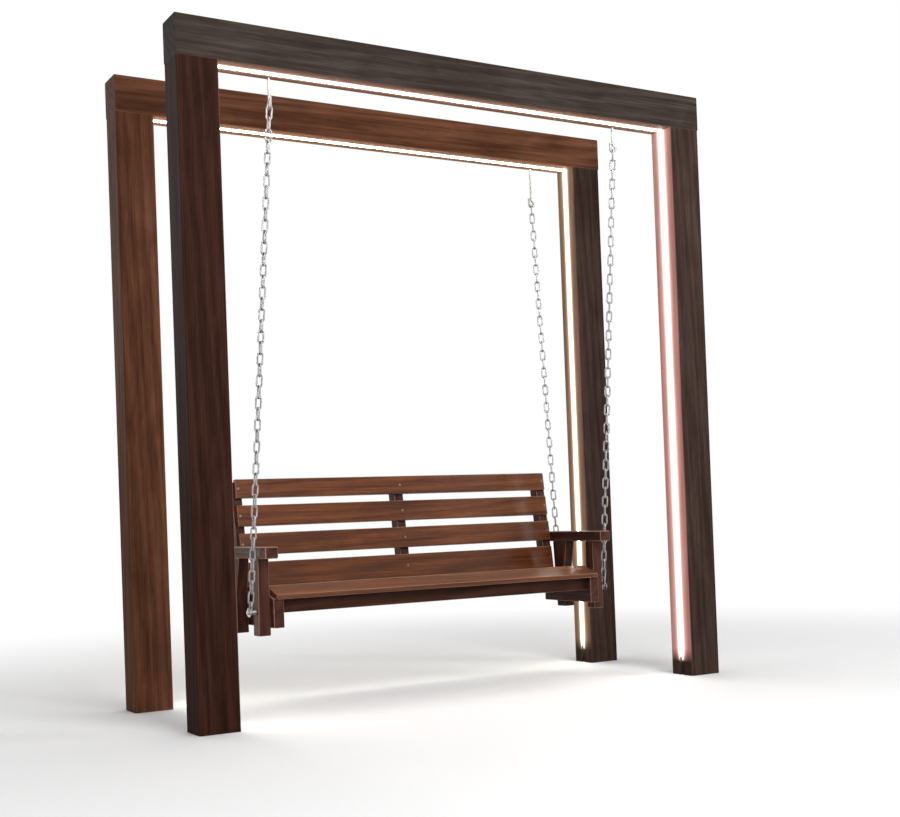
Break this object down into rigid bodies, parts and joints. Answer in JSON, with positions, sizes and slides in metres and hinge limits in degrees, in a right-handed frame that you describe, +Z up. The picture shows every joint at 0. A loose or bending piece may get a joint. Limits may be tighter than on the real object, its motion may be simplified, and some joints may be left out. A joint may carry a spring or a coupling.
{
  "type": "bench swing",
  "caption": "Slatted timber bench hung on four link chains between two timber portal frames with lit grooves; it swings to front and rear.",
  "frame": {"origin": "on the ground, centre of the footprint of the two portal frames", "axes": "+X along the bench, to the right of a sitter's front view; -Y the bench's front; +Z up"},
  "size_m": [2.46, 0.863, 2.6],
  "materials": {
    "dark_timber": "dark stained, satin",
    "red_timber": "red-brown stain, semi-gloss",
    "channel_metal": "satin anodised",
    "opal_cover": "opal, lit from behind",
    "led_tape": "coated strip",
    "dowel_wood": "plain beech",
    "zinc_steel": "bright zinc plate"
  },
  "bodies": {
    "frames": {"front_beam": "dark_timber", "rear_beam": "dark_timber", "front_left_post": "dark_timber", "front_right_post": "dark_timber", "rear_left_post": "dark_timber", "rear_right_post": "dark_timber", "beam_dowels": "dowel_wood", "front_beam_led_channel": "channel_metal", "front_left_led_channel": "channel_metal", "front_right_led_channel": "channel_metal", "rear_beam_led_channel": "channel_metal", "rear_left_led_channel": "channel_metal", "rear_right_led_channel": "channel_metal", "front_beam_led_cover": "opal_cover", "front_left_led_cover": "opal_cover", "front_right_led_cover": "opal_cover", "rear_beam_led_cover": "opal_cover", "rear_left_led_cover": "opal_cover", "rear_right_led_cover": "opal_cover", "led_tapes": "led_tape", "front_hook_bolts": "zinc_steel", "rear_hook_bolts": "zinc_steel", "hook_washers": "zinc_steel", "hook_nuts": "zinc_steel"},
    "front_chains": {"front_left_chain": "zinc_steel", "front_right_chain": "zinc_steel"},
    "bench": {"front_seat_slat": "red_timber", "second_seat_slat": "red_timber", "third_seat_slat": "red_timber", "rear_seat_slat": "red_timber", "bottom_back_slat": "red_timber", "lower_back_slat": "red_timber", "upper_back_slat": "red_timber", "top_back_slat": "red_timber", "front_left_leg": "red_timber", "front_right_leg": "red_timber", "rear_left_leg": "red_timber", "rear_right_leg": "red_timber", "left_arm": "red_timber", "right_arm": "red_timber", "left_bearer": "red_timber", "middle_bearer": "red_timber", "right_bearer": "red_timber", "left_back_upright": "red_timber", "middle_back_upright": "red_timber", "right_back_upright": "red_timber", "front_rail": "red_timber", "rear_rail": "red_timber", "bench_pins": "dowel_wood", "chain_bolts": "zinc_steel", "chain_washers": "zinc_steel", "chain_spacers": "zinc_steel", "chain_nuts": "zinc_steel", "leg_bolts": "zinc_steel", "leg_bolt_nuts": "zinc_steel", "rear_staples": "zinc_steel", "slat_screws": "zinc_steel"},
    "rear_chains": {"rear_left_chain": "zinc_steel", "rear_right_chain": "zinc_steel"}
  },
  "joints": [
    {"name": "front_swing", "type": "hinge", "parent": "frames", "child": "front_chains", "pos_m": [0, -0.324, 2.337], "axis": [1, 0, 0], "range_deg": [-8, 8]},
    {"name": "bench_tilt", "type": "hinge", "parent": "front_chains", "child": "bench", "pos_m": [0, -0.0725, 0.4], "axis": [1, 0, 0], "range_deg": [-18.5, 18.5]},
    {"name": "rear_swing", "type": "hinge", "parent": "frames", "child": "rear_chains", "pos_m": [0, 0.404, 2.257], "axis": [1, 0, 0], "range_deg": [-8.5, 8.5]}
  ],
  "couplings": [
    {"joint": "bench_tilt", "follows": "front_swing", "ratio": -2.2722},
    {"joint": "rear_swing", "follows": "front_swing", "ratio": 1.0301}
  ]
}
